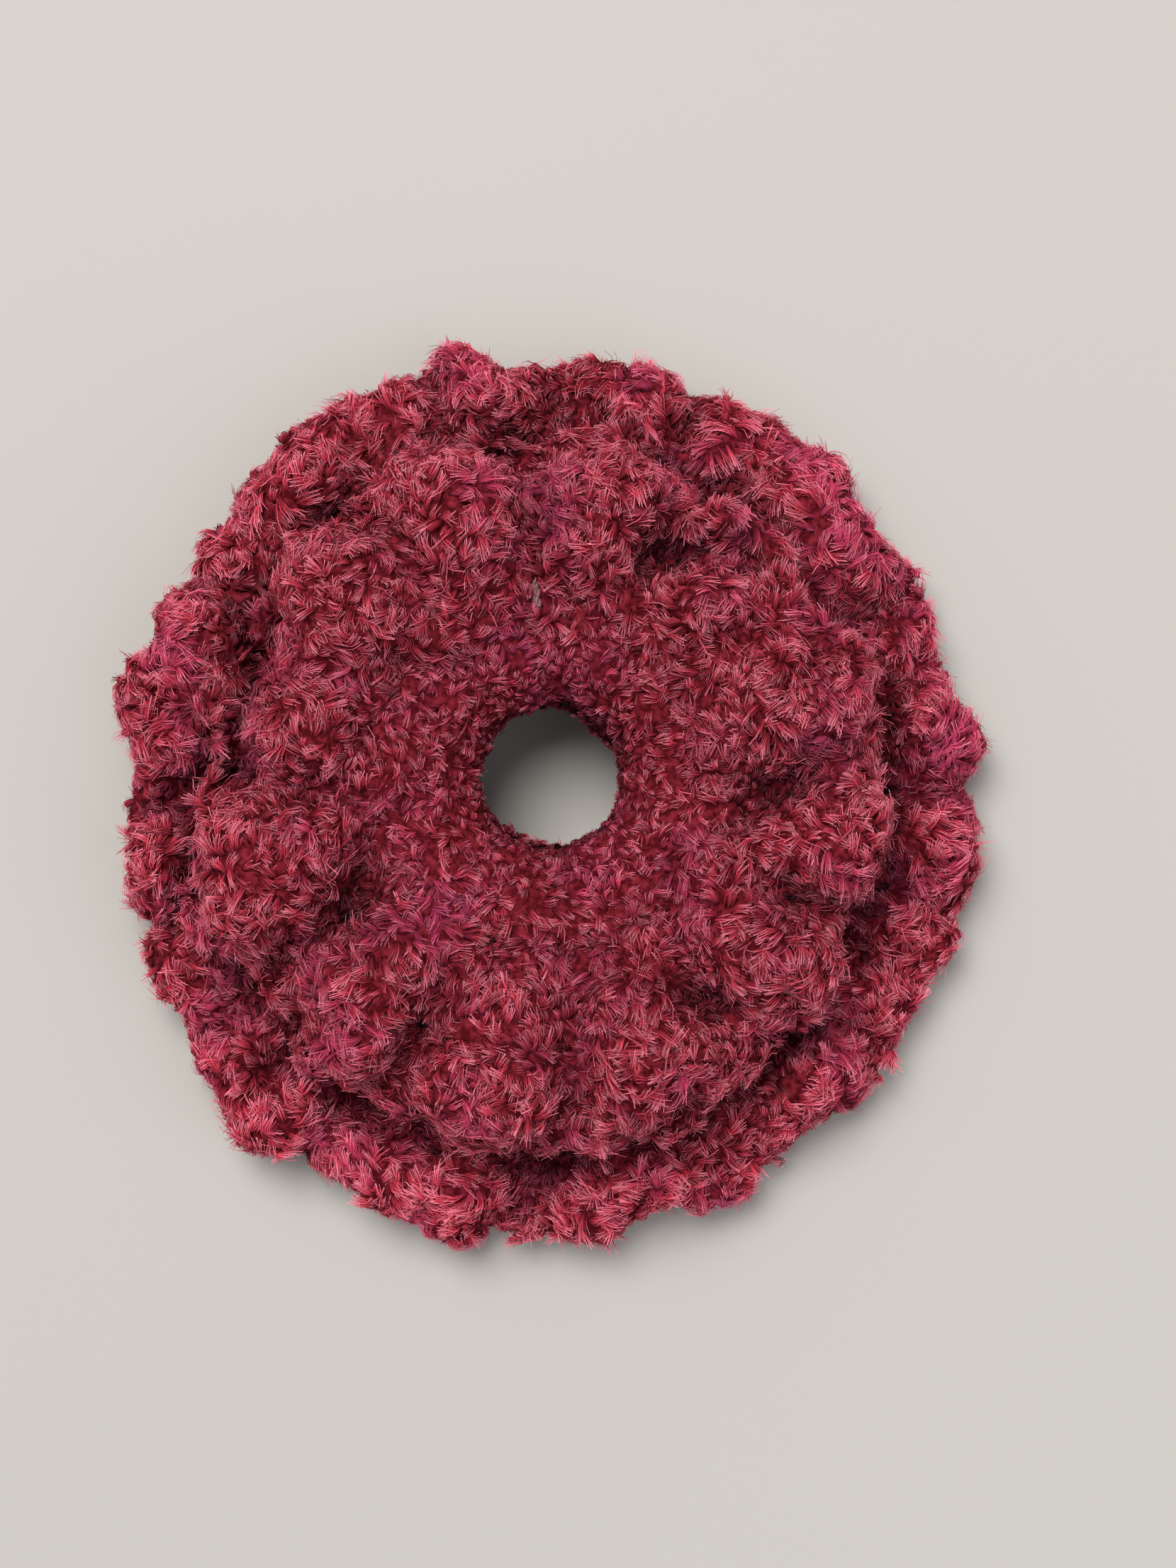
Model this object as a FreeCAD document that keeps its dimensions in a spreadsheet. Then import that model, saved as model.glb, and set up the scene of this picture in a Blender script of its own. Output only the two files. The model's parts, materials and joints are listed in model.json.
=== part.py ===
import FreeCAD, Part
import math
import os

import Sketcher
from FreeCAD import Placement, Rotation, Vector

# A plush crocheted scrunchie, lying flat. The origin is the centre of the ring, in
# the plane of its elastic, and +Z is up. A closed hair elastic runs round the middle;
# a collar of base stitches is worked over it; every group of base stitches grows a
# lower fold, which spreads over the table, and an upper fold, which lies on top of
# it. The ring is divided into equal sectors, numbered anticlockwise from 01, that
# part from one another as it stretches.

SHEET = "Dimensions"
SECTORS = 12

# The driving dimensions, in millimetres and degrees.
DIMENSIONS = {
    # the hair elastic
    "ring_radius": 22.0,
    "core_radius": 1.7,
    "sleeve_radius": 2.25,
    "splice_radius": 2.65,
    "splice_arc": 24.0,
    "splice_bearing": 90.0,
    "elastic_fit": 0.05,
    # the collar of stitches worked over it
    "base_radius": 13.4,
    "hole_radius": 9.25,
    "bore_radius": 2.9,
    "base_arc": 29.0,
    # the sectors and the slit between neighbouring folds
    "sector_arc": 30.0,
    "first_bearing": 15.0,
    "slit": 1.0,
    "base_clearance": 0.25,
    # the tier of folds on the table
    "lower_start": 28.0,
    "lower_floor": -20.0,
    "lower_height": 20.4,
    "lower_round": 6.4,
    "lower_twist": 0.0,
    "lower_bulge": 4.0,
    # the tier of folds on top of it
    "upper_start": 25.0,
    "upper_floor": 0.6,
    "upper_height": 20.4,
    "upper_round": 5.4,
    "upper_twist": 4.0,
    "upper_bulge": 4.5,
    # the yarn's two cut ends
    "tail_radius": 0.55,
    "start_tail_bearing": 94.0,
    "start_tail_lean": 65.0,
    "start_tail_arc": 22.0,
    "finishing_tail_reach": 62.6,
    "finishing_tail_bearing": 300.0,
    "finishing_tail_height": -14.0,
    "finishing_tail_bend": 9.0,
    "finishing_tail_arc": 34.0,
}

# How far each fold reaches from the ring's axis, sector by sector.
LOWER_REACH = [64.0, 62.0, 63.0, 65.5, 64.5, 65.5, 68.0, 72.0, 70.5, 69.0, 66.0, 67.0]
UPPER_REACH = [50.0, 49.0, 48.5, 50.0, 49.0, 51.0, 55.0, 54.0, 54.5, 55.0, 52.0, 51.0]


def make_sheet(doc):
    """Write every driving dimension into a spreadsheet cell of the same name."""
    sheet = doc.addObject("Spreadsheet::Sheet", SHEET)
    values = dict(DIMENSIONS)
    for tier, reaches in (("lower", LOWER_REACH), ("upper", UPPER_REACH)):
        for number, reach in enumerate(reaches, start=1):
            values[reach_name(tier, number)] = reach
    for row, (alias, value) in enumerate(values.items(), start=1):
        sheet.set(f"A{row}", alias)
        sheet.set(f"B{row}", str(value))
        sheet.setAlias(f"B{row}", alias)
    doc.recompute()
    return sheet


def reach_name(tier, number):
    """The cell that holds one fold's reach."""
    return f"{tier}_reach_{number:02d}"


def cell(alias):
    """The expression that reads one cell."""
    return f"{SHEET}.{alias}"


def bind(thing, **expressions):
    """Bind properties of an object to expressions."""
    for name, expression in expressions.items():
        thing.setExpression(name, expression)


def turn(thing, bearing):
    """Turn an object about the ring's axis by an angle that an expression gives."""
    thing.Placement = Placement(Vector(), Rotation(Vector(0, 0, 1), 1))
    thing.setExpression("Placement.Rotation.Angle", bearing)


def sector_bearing(number):
    """The expression for the bearing of a sector's middle."""
    return f"{cell('first_bearing')} + {number - 1} * {cell('sector_arc')}"


# ---------------------------------------------------------------- the hair elastic


def ring_tube(doc, name, radius, arc="360", bearing="0"):
    """A stretch of tube that follows the elastic's centreline."""
    tube = doc.addObject("Part::Torus", name)
    turn(tube, bearing)
    bind(tube, Radius1=cell("ring_radius"), Radius2=radius, Angle3=arc)
    return tube


def hollow_tube(doc, label, outer, inner):
    """One tube with a smaller one taken out of it."""
    part = doc.addObject("Part::Cut", label)
    part.Base = outer
    part.Tool = inner
    return part


def make_elastic(doc):
    """The rubber core, its braided sleeve and the collar that joins the ends."""
    core = ring_tube(doc, "elastic_core", cell("core_radius"))
    core_space = f"{cell('core_radius')} + {cell('elastic_fit')}"
    sleeve = hollow_tube(
        doc,
        "elastic_sleeve",
        ring_tube(doc, "sleeve_outside", cell("sleeve_radius")),
        ring_tube(doc, "sleeve_inside", core_space),
    )
    sleeve_space = f"{cell('sleeve_radius')} + {cell('elastic_fit')}"
    start = f"{cell('splice_bearing')} - {cell('splice_arc')} / 2"
    splice = hollow_tube(
        doc,
        "elastic_splice",
        ring_tube(doc, "splice_outside", cell("splice_radius"), cell("splice_arc"), start),
        ring_tube(doc, "splice_inside", sleeve_space),
    )
    return [core, sleeve, splice]


# ---------------------------------------------------------------- the base stitches


def origin_plane(body, role):
    """One of a body's own origin planes."""
    return next(plane for plane in body.Origin.OriginFeatures if plane.Role == role)


def new_sketch(body, name, role):
    """An empty sketch on one of the body's origin planes."""
    sketch = body.newObject("Sketcher::SketchObject", name)
    sketch.AttachmentSupport = [(origin_plane(body, role), "")]
    sketch.MapMode = "FlatFace"
    return sketch


def add_dimension(sketch, name, expression, *constraint):
    """Add a constraint and bind its value to an expression."""
    index = sketch.addConstraint(Sketcher.Constraint(*constraint))
    sketch.renameConstraint(index, name)
    sketch.setExpression(f"Constraints.{name}", expression)


ORIGIN = (-1, 1)  # the sketch's origin, as a geometry and a point of it
X_AXIS = -1
START, END, CENTRE = 1, 2, 3  # the points of a sketched line or arc


def base_sketch(body, values):
    """The collar's section: round, flattened by the hole, with the elastic's bore."""
    sketch = new_sketch(body, "section", "XZ_Plane")
    centre = Vector(values.ring_radius, 0, 0)
    depth = values.ring_radius - values.hole_radius
    half_flat = math.sqrt(values.base_radius**2 - depth**2)
    opening = math.atan2(half_flat, -depth)
    rim = Part.Circle(centre, Vector(0, 0, 1), values.base_radius)
    rim = sketch.addGeometry(Part.ArcOfCircle(rim, -opening, opening))
    low = Vector(values.hole_radius, -half_flat, 0)
    high = Vector(values.hole_radius, half_flat, 0)
    flat = sketch.addGeometry(Part.LineSegment(high, low))
    bore = sketch.addGeometry(Part.Circle(centre, Vector(0, 0, 1), values.bore_radius))
    sketch.addConstraint(
        [
            Sketcher.Constraint("Coincident", rim, END, flat, START),
            Sketcher.Constraint("Coincident", flat, END, rim, START),
            Sketcher.Constraint("Vertical", flat),
            Sketcher.Constraint("Coincident", bore, CENTRE, rim, CENTRE),
            Sketcher.Constraint("PointOnObject", rim, CENTRE, X_AXIS),
        ]
    )
    ring_x = (*ORIGIN, rim, CENTRE, values.ring_radius)
    flat_x = (*ORIGIN, flat, START, values.hole_radius)
    add_dimension(sketch, "ring_x", cell("ring_radius"), "DistanceX", *ring_x)
    add_dimension(sketch, "flat_x", cell("hole_radius"), "DistanceX", *flat_x)
    add_dimension(sketch, "rim_r", cell("base_radius"), "Radius", rim, values.base_radius)
    add_dimension(sketch, "bore_r", cell("bore_radius"), "Radius", bore, values.bore_radius)
    return sketch


def make_base(doc, number, values):
    """The group of stitches that grips one sector of the elastic."""
    body = doc.addObject("PartDesign::Body", f"base_stitches_{number:02d}")
    section = base_sketch(body, values)
    wrap = body.newObject("PartDesign::Revolution", "wrap")
    wrap.Profile = section
    wrap.ReferenceAxis = (section, ["V_Axis"])
    wrap.Midplane = True
    bind(wrap, Angle=cell("base_arc"))
    turn(body, sector_bearing(number))
    return body


# ---------------------------------------------------------------- the folds


def half_width(distance):
    """Half a fold's width where its side stands at a distance along its middle."""
    half_sector = f"({cell('sector_arc')} / 2 * 1 deg)"
    return f"({distance} * tan{half_sector} - {cell('slit')} / 2 / cos{half_sector})"


def side_at(values, distance):
    """The same half width as a number, for a sketch's first guess."""
    half_sector = math.radians(values.sector_arc / 2)
    return distance * math.tan(half_sector) - values.slit / 2 / math.cos(half_sector)


def fold_sketch(body, tier, number, values):
    """A fold seen from above: a petal along +X with straight sides and a round end."""
    sketch = new_sketch(body, "outline", "XY_Plane")
    sketch.setExpression("AttachmentOffset.Base.z", cell(f"{tier}_floor"))
    start = getattr(values, f"{tier}_start")
    reach = getattr(values, reach_name(tier, number))
    bulge = getattr(values, f"{tier}_bulge")
    shoulder = reach - bulge
    inner = side_at(values, start)
    outer = side_at(values, shoulder)
    corners = {
        "inner_low": Vector(start, -inner, 0),
        "outer_low": Vector(shoulder, -outer, 0),
        "outer_high": Vector(shoulder, outer, 0),
        "inner_high": Vector(start, inner, 0),
    }
    tip_point = Vector(reach, 0, 0)
    heel = Part.LineSegment(corners["inner_high"], corners["inner_low"])
    low = Part.LineSegment(corners["inner_low"], corners["outer_low"])
    end = Part.Arc(corners["outer_low"], tip_point, corners["outer_high"])
    high = Part.LineSegment(corners["outer_high"], corners["inner_high"])
    heel, low, end, high = sketch.addGeometry([heel, low, end, high])
    tip = sketch.addGeometry(Part.Point(tip_point), True)
    sketch.addConstraint(
        [
            Sketcher.Constraint("Coincident", heel, END, low, START),
            Sketcher.Constraint("Coincident", low, END, end, START),
            Sketcher.Constraint("Coincident", end, END, high, START),
            Sketcher.Constraint("Coincident", high, END, heel, START),
            Sketcher.Constraint("Symmetric", heel, START, heel, END, X_AXIS),
            Sketcher.Constraint("Symmetric", end, START, end, END, X_AXIS),
            Sketcher.Constraint("PointOnObject", tip, START, end),
            Sketcher.Constraint("PointOnObject", tip, START, X_AXIS),
        ]
    )
    reach_cell = cell(reach_name(tier, number))
    shoulder_cell = f"({reach_cell} - {cell(f'{tier}_bulge')})"
    heel_width = f"2 * {half_width(cell(f'{tier}_start'))}"
    end_width = f"2 * {half_width(shoulder_cell)}"
    heel_x = (*ORIGIN, heel, START, start)
    shoulder_x = (*ORIGIN, end, START, shoulder)
    tip_x = (*ORIGIN, tip, START, reach)
    heel_y = (heel, END, heel, START, 2 * inner)
    end_y = (end, START, end, END, 2 * outer)
    add_dimension(sketch, "heel_x", cell(f"{tier}_start"), "DistanceX", *heel_x)
    add_dimension(sketch, "shoulder_x", shoulder_cell, "DistanceX", *shoulder_x)
    add_dimension(sketch, "tip_x", reach_cell, "DistanceX", *tip_x)
    add_dimension(sketch, "heel_width", heel_width, "DistanceY", *heel_y)
    add_dimension(sketch, "end_width", end_width, "DistanceY", *end_y)
    return sketch


def clearance_sketch(body, values):
    """The collar's section with a little room round it, to keep a fold off it."""
    sketch = new_sketch(body, "collar_room", "XZ_Plane")
    centre = Vector(values.ring_radius, 0, 0)
    radius = values.base_radius + values.base_clearance
    room = sketch.addGeometry(Part.Circle(centre, Vector(0, 0, 1), radius))
    sketch.addConstraint(Sketcher.Constraint("PointOnObject", room, CENTRE, X_AXIS))
    radius_cells = f"{cell('base_radius')} + {cell('base_clearance')}"
    ring_x = (*ORIGIN, room, CENTRE, values.ring_radius)
    add_dimension(sketch, "ring_x", cell("ring_radius"), "DistanceX", *ring_x)
    add_dimension(sketch, "room_r", radius_cells, "Radius", room, radius)
    return sketch


def make_fold(doc, tier, number, values):
    """One fold of the ruffle: a padded petal that hugs the collar's outside."""
    body = doc.addObject("PartDesign::Body", f"{tier}_fold_{number:02d}")
    petal = body.newObject("PartDesign::Pad", "petal")
    outline = fold_sketch(body, tier, number, values)
    petal.Profile = outline
    bind(petal, Length=cell(f"{tier}_height"))
    doc.recompute()
    puff = body.newObject("PartDesign::Fillet", "puff")
    puff.Base = (petal, [])
    puff.UseAllEdges = True
    bind(puff, Radius=cell(f"{tier}_round"))
    doc.recompute()
    room = clearance_sketch(body, values)
    hug = body.newObject("PartDesign::Groove", "hug")
    hug.Profile = room
    hug.ReferenceAxis = (room, ["V_Axis"])
    hug.Angle = 360
    turn(body, f"{sector_bearing(number)} + {cell(f'{tier}_twist')}")
    doc.recompute()
    if hug.Shape.Volume >= puff.Shape.Volume:
        raise RuntimeError(f"{body.Name}: the groove cuts nothing")
    return body


# ---------------------------------------------------------------- the yarn's ends


def make_start_tail(doc, values):
    """The end that the work began with, laid over the collar between two folds."""
    tail = doc.addObject("Part::Torus", "start_tail")
    outward = Rotation(Vector(0, 0, 1), values.start_tail_bearing)
    upright = Rotation(Vector(1, 0, 0), 90)
    start = outward.multVec(Vector(values.ring_radius, 0, 0))
    lean = Rotation(Vector(0, 0, 1), values.start_tail_lean)
    tail.Placement = Placement(start, outward * upright * lean)
    bind(
        tail,
        Radius1=f"{cell('base_radius')} + {cell('tail_radius')} + {cell('elastic_fit')}",
        Radius2=cell("tail_radius"),
        Angle3=cell("start_tail_arc"),
    )
    return tail


def make_finishing_tail(doc, values):
    """The end left when the work was fastened off, curling out between two folds."""
    tail = doc.addObject("Part::Torus", "finishing_tail")
    outward = Rotation(Vector(0, 0, 1), values.finishing_tail_bearing)
    reach = values.finishing_tail_reach
    bend = values.finishing_tail_bend
    centre = outward.multVec(Vector(reach, bend, values.finishing_tail_height))
    quarter_back = Rotation(Vector(0, 0, 1), -90)
    tail.Placement = Placement(centre, outward * quarter_back)
    bind(
        tail,
        Radius1=cell("finishing_tail_bend"),
        Radius2=cell("tail_radius"),
        Angle3=cell("finishing_tail_arc"),
    )
    return tail


# ---------------------------------------------------------------- the whole ring


def check_document(doc):
    """Stop if any object of the document failed to compute."""
    for thing in doc.Objects:
        if "Invalid" in thing.State or "Error" in thing.State:
            raise RuntimeError(f"{thing.Label} failed: {thing.State}")


def check_part(part):
    """Stop if a sub-part has no sound solid."""
    shape = part.Shape
    if shape.isNull() or not shape.isValid() or len(shape.Solids) != 1:
        raise RuntimeError(f"{part.Label} has no sound solid")


def main():
    """Build the ring and write one file for each sub-part."""
    doc = FreeCAD.newDocument("scrunchie")
    values = make_sheet(doc)
    parts = make_elastic(doc)
    for number in range(1, SECTORS + 1):
        parts.append(make_base(doc, number, values))
    for tier in ("lower", "upper"):
        for number in range(1, SECTORS + 1):
            parts.append(make_fold(doc, tier, number, values))
    parts.append(make_start_tail(doc, values))
    parts.append(make_finishing_tail(doc, values))
    doc.recompute()
    check_document(doc)
    os.makedirs("parts", exist_ok=True)
    for part in parts:
        check_part(part)
        part.Shape.exportStep(f"parts/{part.Label}.step")


main()
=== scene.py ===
import json
import math

import bmesh
import bpy
import numpy as np
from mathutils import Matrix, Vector
from mathutils.kdtree import KDTree

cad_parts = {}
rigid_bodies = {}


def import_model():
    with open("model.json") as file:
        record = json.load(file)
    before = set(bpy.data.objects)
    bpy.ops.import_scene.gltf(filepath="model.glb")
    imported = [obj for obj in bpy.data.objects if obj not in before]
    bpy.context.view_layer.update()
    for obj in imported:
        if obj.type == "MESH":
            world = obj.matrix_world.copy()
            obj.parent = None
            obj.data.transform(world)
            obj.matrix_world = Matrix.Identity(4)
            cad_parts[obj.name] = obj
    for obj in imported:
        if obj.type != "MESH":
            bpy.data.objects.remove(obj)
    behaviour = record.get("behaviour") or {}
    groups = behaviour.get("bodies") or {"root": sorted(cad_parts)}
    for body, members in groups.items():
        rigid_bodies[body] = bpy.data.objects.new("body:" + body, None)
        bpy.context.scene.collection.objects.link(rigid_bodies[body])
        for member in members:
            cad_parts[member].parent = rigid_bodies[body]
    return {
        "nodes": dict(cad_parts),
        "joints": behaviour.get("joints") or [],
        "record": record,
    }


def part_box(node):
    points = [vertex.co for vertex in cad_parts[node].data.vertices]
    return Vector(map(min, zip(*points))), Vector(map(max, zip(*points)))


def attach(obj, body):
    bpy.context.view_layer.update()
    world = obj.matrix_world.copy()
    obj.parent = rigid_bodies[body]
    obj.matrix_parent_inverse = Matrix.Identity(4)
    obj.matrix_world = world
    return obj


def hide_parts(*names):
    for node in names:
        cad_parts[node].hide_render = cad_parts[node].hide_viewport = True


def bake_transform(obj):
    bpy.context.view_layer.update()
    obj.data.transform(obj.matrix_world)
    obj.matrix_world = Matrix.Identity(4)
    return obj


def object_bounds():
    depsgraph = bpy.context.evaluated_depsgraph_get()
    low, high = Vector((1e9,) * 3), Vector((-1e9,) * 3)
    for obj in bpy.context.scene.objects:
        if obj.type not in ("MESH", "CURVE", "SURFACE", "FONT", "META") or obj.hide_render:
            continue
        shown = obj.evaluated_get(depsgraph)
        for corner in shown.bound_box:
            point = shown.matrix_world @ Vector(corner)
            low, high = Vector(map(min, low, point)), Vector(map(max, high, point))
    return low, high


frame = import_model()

# A plush crocheted scrunchie on a pale table. Each tier of the ruffle, and the collar
# of stitches round the elastic, is a lumpy skin grown from the CAD solids and covered
# with tufts of pile. Skins and pile are cut into one piece for each gap between two
# neighbouring sectors.

MM = 0.001
CAD_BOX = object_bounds()
RECORD = frame["record"]
rng = np.random.default_rng(7)

# ---------------------------------------------------------------- the frame's numbers


def vertices_of(obj):
    """A mesh object's vertices as an array."""
    flat = np.empty(len(obj.data.vertices) * 3, np.float32)
    obj.data.vertices.foreach_get("co", flat)
    return flat.reshape(-1, 3).astype(float)


def node_vertices(node):
    """A CAD node's vertices as an array."""
    return vertices_of(frame["nodes"][node])


def bearing_of(points):
    """The angle round the ring at which a group of points is centred."""
    x, y = points[:, :2].max(0) + points[:, :2].min(0)
    return math.atan2(y, x) % math.tau


def direction(bearing):
    """The unit vector that points outwards at a bearing."""
    return np.array([math.cos(bearing), math.sin(bearing), 0.0])


BODIES = sorted(RECORD["behaviour"]["bodies"])
BEARINGS = [bearing_of(node_vertices(name.replace("sector", "base_stitches"))) for name in BODIES]
SECTOR_ARC = math.tau / len(BODIES)
JOINED = {frozenset((joint["parent"], joint["child"])) for joint in frame["joints"]}
STRETCH = max(joint["range_m"][1] for joint in frame["joints"])

CORE_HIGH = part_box("elastic_core")[1]
CORE_RADIUS = CORE_HIGH.z
RING_RADIUS = CORE_HIGH.x - CORE_RADIUS
SLEEVE_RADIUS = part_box("elastic_sleeve")[1].z
SPLICE_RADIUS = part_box("elastic_splice")[1].z
HOLE_RADIUS = next(m for m in RECORD["mounts"] if m["name"] == "hair_opening")["dims"]["r_mm"] * MM
COLLAR_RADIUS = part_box("base_stitches_01")[1].z
TABLE = CAD_BOX[0][2]

# ---------------------------------------------------------------- meshes from arrays


def new_object(name, vertices, faces, smooth=True):
    """A mesh object from vertex and triangle arrays."""
    mesh = bpy.data.meshes.new(name)
    mesh.vertices.add(len(vertices))
    mesh.vertices.foreach_set("co", np.asarray(vertices, np.float32).ravel())
    mesh.loops.add(faces.size)
    mesh.loops.foreach_set("vertex_index", np.asarray(faces, np.int32).ravel())
    mesh.polygons.add(len(faces))
    corners = faces.shape[1]
    mesh.polygons.foreach_set("loop_start", np.arange(len(faces), dtype=np.int32) * corners)
    mesh.polygons.foreach_set("loop_total", np.full(len(faces), corners, np.int32))
    mesh.polygons.foreach_set("use_smooth", np.full(len(faces), smooth))
    mesh.update(calc_edges=True)
    obj = bpy.data.objects.new(name, mesh)
    bpy.context.scene.collection.objects.link(obj)
    return obj


def triangles_of(obj):
    """A mesh object's triangles as an array."""
    mesh = obj.data
    mesh.calc_loop_triangles()
    flat = np.empty(len(mesh.loop_triangles) * 3, np.int32)
    mesh.loop_triangles.foreach_get("vertices", flat)
    return flat.reshape(-1, 3)


def normals_of(vertices, triangles):
    """Area-weighted vertex normals."""
    a, b, c = (vertices[triangles[:, i]] for i in range(3))
    face = np.cross(b - a, c - a)
    total = np.zeros_like(vertices)
    for i in range(3):
        np.add.at(total, triangles[:, i], face)
    return unit(total)


def unit(vectors):
    """Vectors scaled to length one."""
    length = np.linalg.norm(vectors, axis=-1, keepdims=True)
    return vectors / np.maximum(length, 1e-12)


def add_value(obj, name, values):
    """Store one number per vertex for the material to read."""
    attribute = obj.data.attributes.new(name, "FLOAT", "POINT")
    attribute.data.foreach_set("value", np.asarray(values, np.float32))


# ---------------------------------------------------------------- the lumpy skins

STITCH_RADIUS = 5.4 * MM
STITCH_PITCH = 1.7  # the spacing of stitches along a row, in stitch radii
STITCH_ROWS = 5  # from a fold's heel to its tip
STITCH_JITTER = 2.0 * MM
COLLAR_STITCH = 4.4 * MM  # the radius of the collar's smaller stitches
COLLAR_ROUND = 30  # stitches round the ring
COLLAR_WRAP = 9  # and round the elastic
COLLAR_UNEVEN = 0.6 * MM  # how much the opening's edge wanders in and out
SKIN_VOXEL = 2.2 * MM
PRESSURE = 4.0
SWELL_FRAMES = 16
SWELL_CAP = 2.0 * MM  # the most that the cloth may move
PILE_DEPTH = 2.8 * MM  # how far the pile stands off the skin
FILLER_SCALE = 0.74
FOLD_SAG = 3.5 * MM  # the most that a fold may lie lower than its CAD solid
FOLD_SWING = math.radians(2.5)
FOLD_TILT = 2.0 * MM
SQUASH = 0.972  # the ruffle is a little narrower along X than along Y
RIM_INSET = -0.8 * MM  # how far the pile's edge stays inside the CAD solid: it may pass it
DROPPED_STITCHES = 0.12  # the share of the top stitches that are pulled in, out of sight
# Each crease where two folds part: its bearing in degrees, its distance in mm and its
# slant, from 0 for one that runs outwards to 90 for one that runs round the ring. The
# folds aren't even: some are twice as wide as others.
CREASES = (
    (10, 48, 90), (25, 42, 45), (47, 43, 45), (60, 36, 120), (82, 52, 0), (100, 47, 60),
    (128, 46, 45), (155, 45, 90), (168, 44, 90), (180, 47, 20), (198, 54, 60), (210, 32, 50),
    (221, 49, 90), (227, 58, 0), (242, 54, 90), (249, 57, 90), (269, 56, 90), (291, 51, 125),
    (305, 39, 45), (312, 50, 125), (341, 51, 90), (338, 60, 60), (355, 32, 20), (122, 13, 90),
)
RIM_CREASES = 14  # more of them, near the rim of the lower tier
CREASE_LENGTH = 7.5 * MM
CREASE_WIDTH = 3.8 * MM
DEEP_CREASES = 52.0 * MM  # the folds part more deeply the further out they are, up to here
RIM_CREASE_REACH = (57, 63)  # mm
LOWER_CREASE_DEPTH = 8.0 * MM
UPPER_CREASE_DEPTH = 15.0 * MM
# How much a fold's top drops towards its tip, its heel and its sides, how much shorter its
# sides are and how far its underside hangs, all in mm.
LOWER_SHAPE = {"tip_drop": 1.5, "heel_drop": 0.0, "side_drop": 2.6, "side_trim": 1.4, "hang": 0.0}
UPPER_SHAPE = {"tip_drop": 4.2, "heel_drop": 6.5, "side_drop": 3.2, "side_trim": 2.4, "hang": 4.0}


def ball_template():
    """Vertices and triangles of a unit ball."""
    ball = bmesh.new()
    bmesh.ops.create_icosphere(ball, subdivisions=3, radius=1)
    vertices = np.array([v.co[:] for v in ball.verts])
    faces = np.array([[v.index for v in f.verts] for f in ball.faces])
    ball.free()
    return vertices, faces


BALL = ball_template()


def reach_of(node):
    """How far a fold reaches from the ring's axis."""
    return np.hypot(*node_vertices(node)[:, :2].T).max()


def fold_stitches(node, beside, tip_drop, heel_drop, side_drop, side_trim, hang):
    """Centres and radii of the stitches of a fold, whose sides run into those beside it."""
    points = node_vertices(node)
    low, high = points[:, 2].min(), points[:, 2].max() - rng.uniform(0, 1) * FOLD_SAG
    bearing = bearing_of(points) + rng.uniform(-1, 1) * FOLD_SWING
    tilt = rng.uniform(-1, 1) * FOLD_TILT
    side_drop = side_drop * rng.uniform(0.3, 1.5)
    inset = STITCH_RADIUS + PILE_DEPTH * 0.6
    first = np.hypot(points[:, 0], points[:, 1]).min() + inset * 0.2
    last = reach_of(node) - inset - RIM_INSET
    step_before, step_after = (reach_of(other) - reach_of(node) for other in beside)
    centres = []
    radii = []
    for row, reach in enumerate(np.linspace(first, last, STITCH_ROWS)):
        share = row / (STITCH_ROWS - 1)
        half_width = reach * math.tan(SECTOR_ARC / 2) - STITCH_RADIUS * 0.3
        across = max(1, round(2 * half_width / (STITCH_RADIUS * STITCH_PITCH)) + 1)
        spots = np.linspace(-1, 1, across) if across > 1 else np.zeros(1)
        for height, on_top in ((low + inset, False), (high - inset, True)):
            for spot in spots:
                drop = side_drop * spot**2 + tip_drop * share**3 + heel_drop * (1 - share) ** 2
                step = step_after if spot > 0 else step_before
                along = reach + (step * abs(spot) / 2 - side_trim * spot**2) * share
                centre = direction(bearing + math.atan2(spot * half_width, reach)) * along
                centre[2] = height - (drop + tilt * spot if on_top else hang * share**2)
                if on_top and rng.uniform() < DROPPED_STITCHES:
                    continue
                jitter = rng.uniform(-1, 1, 3) * STITCH_JITTER
                jitter[2] *= 1.0 if on_top else 0.3
                centres.append(centre + jitter)
                radii.append(STITCH_RADIUS * rng.uniform(0.75, 1.25))
    return np.array(centres) * (SQUASH, 1, 1), np.array(radii)


def collar_stitches():
    """Centres and radii of the stitches round the collar."""
    centres = []
    radii = []
    size = COLLAR_STITCH
    uneven = rng.normal(0, COLLAR_UNEVEN, COLLAR_ROUND)
    for i in range(COLLAR_ROUND):
        for j in range(COLLAR_WRAP):
            bearing = math.tau * (i + 0.5 * (j % 2)) / COLLAR_ROUND
            turn = math.tau * j / COLLAR_WRAP
            out = COLLAR_RADIUS - size - PILE_DEPTH * 0.4
            radial = RING_RADIUS + out * math.cos(turn)
            radial = max(radial, HOLE_RADIUS + size + PILE_DEPTH * 0.5 + uneven[i])
            centre = direction(bearing) * radial
            centre[2] = out * math.sin(turn)
            centres.append(centre + rng.uniform(-1, 1, 3) * STITCH_JITTER * 0.4)
            radii.append(size * rng.uniform(0.92, 1.12))
    return np.array(centres), np.array(radii)


def filler(nodes):
    """The CAD solids, drawn in a little, to fill the space between the stitches."""
    vertices = []
    faces = []
    count = 0
    for node in nodes:
        points = node_vertices(node)
        middle = (points.max(0) + points.min(0)) / 2
        vertices.append(middle + (points - middle) * FILLER_SCALE)
        faces.append(triangles_of(frame["nodes"][node]) + count)
        count += len(points)
    return np.vstack(vertices), np.vstack(faces)


def apply_modifiers(obj):
    """Replace an object's mesh by its modified one."""
    graph = bpy.context.evaluated_depsgraph_get()
    mesh = bpy.data.meshes.new_from_object(obj.evaluated_get(graph))
    obj.modifiers.clear()
    obj.data = mesh


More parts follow.
